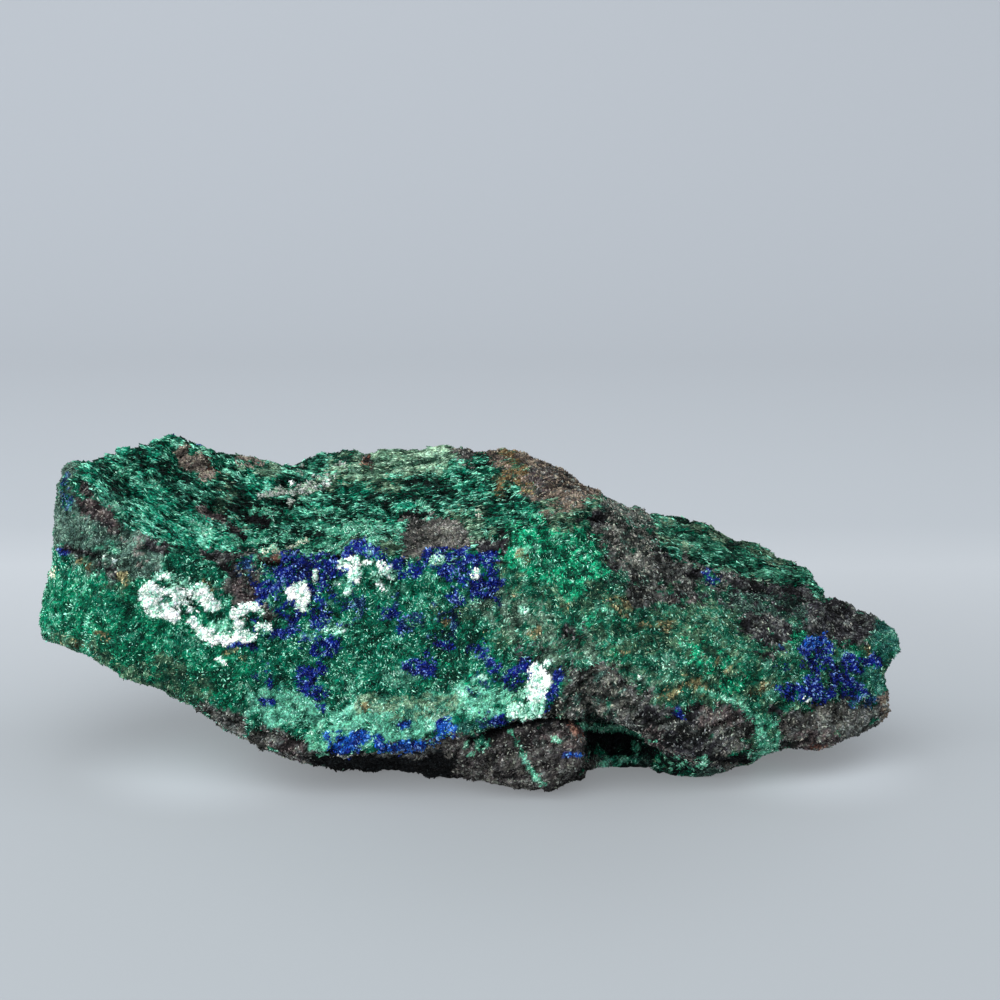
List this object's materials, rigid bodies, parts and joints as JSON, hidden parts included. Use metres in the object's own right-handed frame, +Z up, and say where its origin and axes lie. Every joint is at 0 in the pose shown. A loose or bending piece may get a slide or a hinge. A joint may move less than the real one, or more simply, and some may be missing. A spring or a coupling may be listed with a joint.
{
  "type": "azurite malachite specimen",
  "caption": "Broken slab of dark rock crusted with green malachite, blue azurite and a little white carbonate, resting on its rough underside.",
  "frame": {"origin": "middle of the object's box at its base, on the surface that it rests on", "axes": "+X along the slab towards its thin end, +Z up, and the crusted front face looks along -Y"},
  "size_m": [0.1468, 0.0638, 0.0515],
  "materials": {
    "host_rock": "rough, matt, grainy dark brown rock stained green",
    "malachite": "sparkling green crust of crystals under 1 mm",
    "azurite": "glassy deep blue crystals under 1 mm",
    "white_carbonate": "matt white powdery crust"
  },
  "bodies": {
    "root": {"azurite_malachite_rock": "host_rock"}
  },
  "joints": []
}
